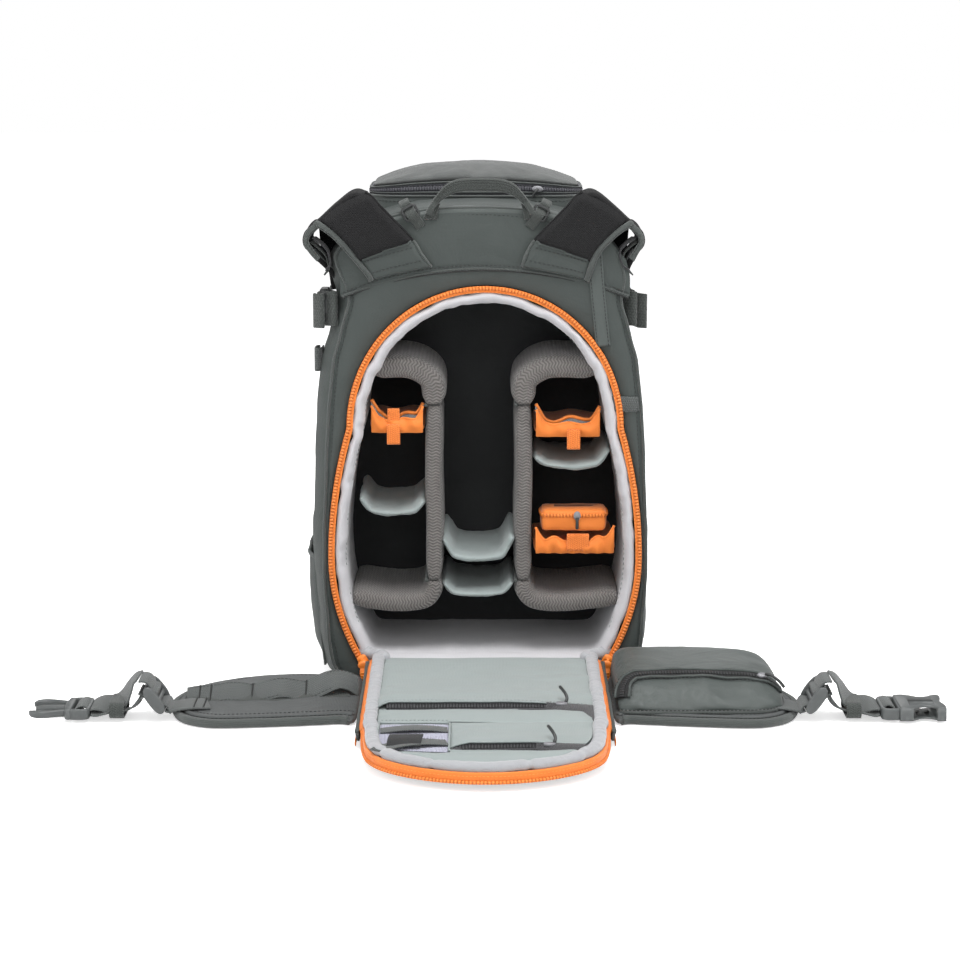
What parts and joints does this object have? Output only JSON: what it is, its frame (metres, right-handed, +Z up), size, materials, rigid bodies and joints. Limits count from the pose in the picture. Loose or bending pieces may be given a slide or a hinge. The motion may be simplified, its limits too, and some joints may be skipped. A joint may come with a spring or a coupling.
{
  "type": "camera backpack",
  "caption": "Camera backpack lying open in its loading position: padded bays with movable dividers, fold-down zipped harness panel, open hip belt, shoulder straps and a top lid.",
  "frame": {"origin": "on the floor, centred under the body in X; Y = 0 lies 110 mm behind the plane of the harness side", "axes": "+Z up, +X to the right seen from the harness side, the harness side faces -Y"},
  "size_m": [0.8576, 0.6062, 0.503],
  "materials": {
    "shell_nylon": "matt grey-green coated nylon weave",
    "pale_lining": "brushed light-grey loop lining",
    "mint_nylon": "thin pale grey-green nylon",
    "orange_trim": "orange nylon and zip tape",
    "divider_mesh": "warm grey ribbed mesh over foam",
    "spacer_mesh": "black spacer mesh",
    "webbing": "mid-grey polyester webbing",
    "buckle_plastic": "moulded acetal",
    "zip_plastic": "moulded orange zip parts",
    "stiffener": "plastic frame sheet"
  },
  "bodies": {
    "body": {"outer_shell": "shell_nylon", "harness_panel": "shell_nylon", "yoke_panel": "shell_nylon", "zip_frame": "orange_trim", "camera_box": "pale_lining", "divider_left": "divider_mesh", "divider_right": "divider_mesh", "front_pocket": "shell_nylon", "side_pocket_left": "shell_nylon", "side_pocket_right": "shell_nylon", "lid_base_band": "shell_nylon", "load_lifters": "buckle_plastic", "compression_straps": "webbing", "side_tabs": "webbing"},
    "compression_left": {"compression_male_left": "buckle_plastic"},
    "compression_right": {"compression_male_right": "buckle_plastic"},
    "handle": {"carry_handle": "shell_nylon"},
    "lid": {"lid_top": "shell_nylon", "lid_zip_tape": "spacer_mesh"},
    "lid_slider": {"lid_zip_slider": "buckle_plastic"},
    "slider_left": {"zip_slider_left": "zip_plastic"},
    "slider_right": {"zip_slider_right": "zip_plastic"},
    "pull_left": {"zip_pull_left": "orange_trim"},
    "pull_right": {"zip_pull_right": "orange_trim"},
    "bay_pouch_left_upper": {"pouch_left_upper": "orange_trim"},
    "bay_shelf_left_lower": {"shelf_left_lower": "mint_nylon"},
    "bay_pouch_right_upper": {"pouch_right_upper": "orange_trim"},
    "bay_shelf_right_middle": {"shelf_right_middle": "mint_nylon"},
    "bay_pouch_right_lower": {"pouch_right_lower": "orange_trim"},
    "bay_accessory_pouch": {"accessory_pouch": "orange_trim"},
    "bay_shelf_centre_upper": {"shelf_centre_upper": "mint_nylon"},
    "bay_shelf_centre_lower": {"shelf_centre_lower": "mint_nylon"},
    "strap_left": {"strap_pad_left": "shell_nylon", "strap_mesh_left": "spacer_mesh"},
    "strap_right": {"strap_pad_right": "shell_nylon", "strap_mesh_right": "spacer_mesh"},
    "panel": {"flap_panel": "shell_nylon", "flap_lining": "mint_nylon", "flap_zip_edge": "orange_trim", "frame_sheet": "stiffener", "back_pads": "spacer_mesh", "flap_pocket_upper": "mint_nylon", "flap_pocket_lower": "mint_nylon", "label_pocket": "webbing"},
    "edge_left": {"flap_edge_left": "orange_trim"},
    "edge_right": {"flap_edge_right": "orange_trim"},
    "pocket_slider_upper": {"flap_slider_upper": "buckle_plastic"},
    "pocket_slider_lower": {"flap_slider_lower": "buckle_plastic"},
    "wing_left": {"belt_wing_left": "shell_nylon", "belt_daisy_left": "webbing"},
    "wing_right": {"belt_wing_right": "shell_nylon", "belt_pocket_right": "shell_nylon"},
    "adjuster_left": {"belt_adjuster_left": "buckle_plastic"},
    "adjuster_right": {"belt_adjuster_right": "buckle_plastic"},
    "webbing_left": {"belt_webbing_left": "webbing"},
    "webbing_right": {"belt_webbing_right": "webbing"},
    "male_half": {"buckle_male": "buckle_plastic"},
    "female_half": {"buckle_female": "buckle_plastic"},
    "prong_near": {"buckle_prong_near": "buckle_plastic"},
    "prong_far": {"buckle_prong_far": "buckle_plastic"}
  },
  "joints": [
    {"name": "panel_fold", "type": "hinge", "parent": "body", "child": "panel", "pos_m": [0, -0.118, 0.016], "axis": [-1, 0, 0], "range_deg": [0, 91.5]},
    {"name": "edge_fold_left", "type": "hinge", "parent": "panel", "child": "edge_left", "pos_m": [-0.118, -0.26225, 0.02373], "axis": [0, 0.9997, 0.0262], "range_deg": [0, 88]},
    {"name": "edge_fold_right", "type": "hinge", "parent": "panel", "child": "edge_right", "pos_m": [0.118, -0.26225, 0.02373], "axis": [0, -0.9997, -0.0262], "range_deg": [0, 88]},
    {"name": "handle_swing", "type": "hinge", "parent": "body", "child": "handle", "pos_m": [0, -0.1155, 0.458], "axis": [1, 0, 0], "range_deg": [0, 75]},
    {"name": "lid_open", "type": "hinge", "parent": "body", "child": "lid", "pos_m": [0, 0.0995, 0.4765], "axis": [-1, 0, 0], "range_deg": [0, 70]},
    {"name": "lid_zip_run", "type": "slide", "parent": "lid", "child": "lid_slider", "axis": [-1, 0, 0], "range_m": [0, 0.13]},
    {"name": "zip_run_left", "type": "slide", "parent": "body", "child": "slider_left", "axis": [-0.4909, 0, 0.8712], "range_m": [0, 0.035]},
    {"name": "zip_pull_swing_left", "type": "hinge", "parent": "slider_left", "child": "pull_left", "pos_m": [-0.1195, -0.118, 0.022], "axis": [-1, 0, 0], "range_deg": [0, 60]},
    {"name": "zip_run_right", "type": "slide", "parent": "body", "child": "slider_right", "axis": [0.4909, 0, 0.8712], "range_m": [0, 0.035]},
    {"name": "zip_pull_swing_right", "type": "hinge", "parent": "slider_right", "child": "pull_right", "pos_m": [0.1195, -0.118, 0.022], "axis": [-1, 0, 0], "range_deg": [0, 60]},
    {"name": "pouch_left_upper_shift", "type": "slide", "parent": "body", "child": "bay_pouch_left_upper", "axis": [0, 0, 1], "range_m": [-0.008, 0.008]},
    {"name": "shelf_left_lower_shift", "type": "slide", "parent": "body", "child": "bay_shelf_left_lower", "axis": [0, 0, 1], "range_m": [-0.008, 0.008]},
    {"name": "pouch_right_upper_shift", "type": "slide", "parent": "body", "child": "bay_pouch_right_upper", "axis": [0, 0, 1], "range_m": [-0.006, 0.006]},
    {"name": "shelf_right_middle_shift", "type": "slide", "parent": "body", "child": "bay_shelf_right_middle", "axis": [0, 0, 1], "range_m": [-0.006, 0.006]},
    {"name": "pouch_right_lower_shift", "type": "slide", "parent": "body", "child": "bay_pouch_right_lower", "axis": [0, 0, 1], "range_m": [-0.008, 0.003]},
    {"name": "accessory_pouch_shift", "type": "slide", "parent": "body", "child": "bay_accessory_pouch", "axis": [0, 0, 1], "range_m": [0, 0.015]},
    {"name": "shelf_centre_upper_shift", "type": "slide", "parent": "body", "child": "bay_shelf_centre_upper", "axis": [0, 0, 1], "range_m": [-0.008, 0.008]},
    {"name": "shelf_centre_lower_shift", "type": "slide", "parent": "body", "child": "bay_shelf_centre_lower", "axis": [0, 0, 1], "range_m": [-0.008, 0.008]},
    {"name": "strap_lift_left", "type": "hinge", "parent": "body", "child": "strap_left", "pos_m": [-0.075, -0.112, 0.407], "axis": [0.9753, 0, 0.221], "range_deg": [0, 55]},
    {"name": "compression_release_left", "type": "slide", "parent": "body", "child": "compression_left", "axis": [0, 1, 0], "range_m": [0, 0.024]},
    {"name": "strap_lift_right", "type": "hinge", "parent": "body", "child": "strap_right", "pos_m": [0.075, -0.112, 0.407], "axis": [0.9753, 0, -0.221], "range_deg": [0, 55]},
    {"name": "compression_release_right", "type": "slide", "parent": "body", "child": "compression_right", "axis": [0, 1, 0], "range_m": [0, 0.024]},
    {"name": "flap_zip_run_upper", "type": "slide", "parent": "panel", "child": "pocket_slider_upper", "axis": [-1, 0, 0], "range_m": [0, 0.14]},
    {"name": "flap_zip_run_lower", "type": "slide", "parent": "panel", "child": "pocket_slider_lower", "axis": [-1, 0, 0], "range_m": [0, 0.075]},
    {"name": "wing_fold_left", "type": "hinge", "parent": "panel", "child": "wing_left", "pos_m": [-0.124, -0.2, 0.005], "axis": [0, -1, 0], "range_deg": [-30, 80]},
    {"name": "adjuster_tilt_left", "type": "hinge", "parent": "wing_left", "child": "adjuster_left", "pos_m": [-0.299, -0.245, 0.009], "axis": [0, -1, 0], "range_deg": [-30, 30]},
    {"name": "webbing_bend_left", "type": "hinge", "parent": "adjuster_left", "child": "webbing_left", "pos_m": [-0.3248, -0.245, 0.0398], "axis": [0, -1, 0], "range_deg": [-25, 25]},
    {"name": "wing_fold_right", "type": "hinge", "parent": "panel", "child": "wing_right", "pos_m": [0.124, -0.2, 0.005], "axis": [0, 1, 0], "range_deg": [-30, 80]},
    {"name": "adjuster_tilt_right", "type": "hinge", "parent": "wing_right", "child": "adjuster_right", "pos_m": [0.299, -0.245, 0.009], "axis": [0, 1, 0], "range_deg": [-30, 30]},
    {"name": "webbing_bend_right", "type": "hinge", "parent": "adjuster_right", "child": "webbing_right", "pos_m": [0.3248, -0.245, 0.0398], "axis": [0, 1, 0], "range_deg": [-25, 25]},
    {"name": "male_tilt", "type": "hinge", "parent": "webbing_left", "child": "male_half", "pos_m": [-0.3685, -0.245, 0.009], "axis": [0, -1, 0], "range_deg": [-30, 30]},
    {"name": "female_tilt", "type": "hinge", "parent": "webbing_right", "child": "female_half", "pos_m": [0.3685, -0.245, 0.009], "axis": [0, 1, 0], "range_deg": [-30, 30]},
    {"name": "prong_near_flex", "type": "hinge", "parent": "male_half", "child": "prong_near", "pos_m": [-0.3926, -0.261, 0.0085], "axis": [0, 0, -1], "range_deg": [0, 6], "stiffness_Nm_per_rad": 0.4},
    {"name": "prong_far_flex", "type": "hinge", "parent": "male_half", "child": "prong_far", "pos_m": [-0.3926, -0.229, 0.0085], "axis": [0, 0, 1], "range_deg": [0, 6], "stiffness_Nm_per_rad": 0.4}
  ],
  "couplings": [
    {"joint": "edge_fold_left", "follows": "panel_fold", "ratio": 0.96175},
    {"joint": "edge_fold_right", "follows": "panel_fold", "ratio": 0.96175}
  ]
}
